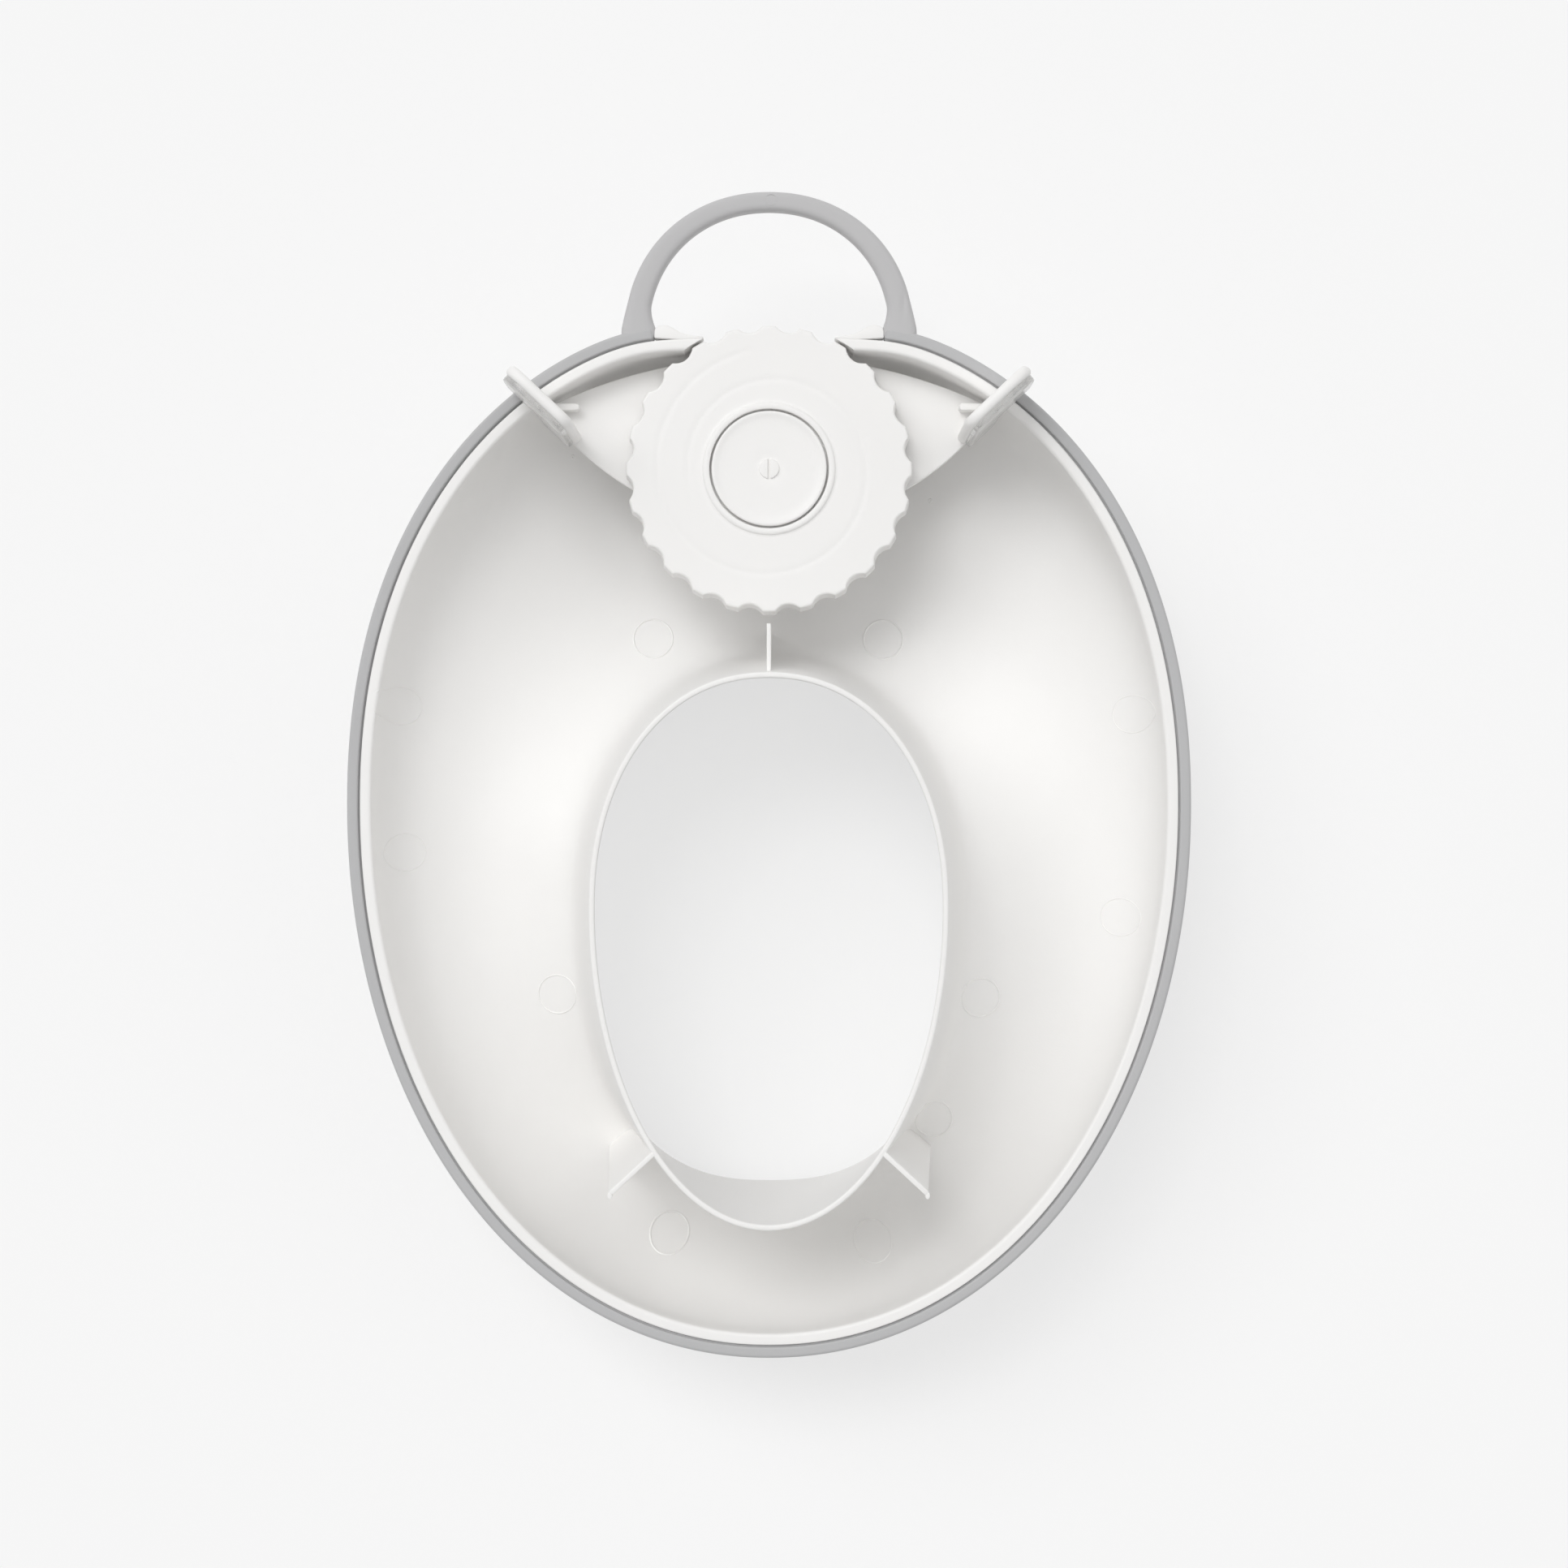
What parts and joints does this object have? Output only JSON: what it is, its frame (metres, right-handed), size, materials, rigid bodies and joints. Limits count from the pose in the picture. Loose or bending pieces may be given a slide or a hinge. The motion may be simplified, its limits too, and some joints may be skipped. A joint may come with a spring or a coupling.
{
  "type": "potty training seat",
  "caption": "Child's toilet seat reducer with soft rim edge, carrying loop, splash guard and a dial that drives a clamping slide.",
  "frame": {"origin": "middle of the bounding box at its lowest point, on the surface that the seat lies on, face down", "axes": "+X to the seat's left side as the child sits, +Y to the rear and its carrying loop, +Z towards the underside, up as the seat lies face down"},
  "size_m": [0.311, 0.4298, 0.113],
  "materials": {
    "white_moulding": "satin",
    "grey_soft_edge": "matte",
    "clear_soft_pad": "translucent"
  },
  "bodies": {
    "shell": {"seat_shell": "white_moulding", "rim_grip": "grey_soft_edge", "hub_cap": "white_moulding"},
    "dial": {"adjuster_dial": "white_moulding"},
    "slide": {"adjuster_slide": "white_moulding", "fin_pad_right": "clear_soft_pad", "fin_pad_left": "clear_soft_pad"}
  },
  "joints": [
    {"name": "dial_turn", "type": "hinge", "parent": "shell", "child": "dial", "pos_m": [0, 0.1126, 0.07], "axis": [0, 0, 1], "range_deg": [-28, 167]},
    {"name": "slide_travel", "type": "slide", "parent": "shell", "child": "slide", "axis": [0, 1, 0], "range_m": [-0.0053, 0.0009]}
  ],
  "couplings": [
    {"joint": "slide_travel", "follows": "dial_turn", "m_per_rad": -0.0018144}
  ]
}
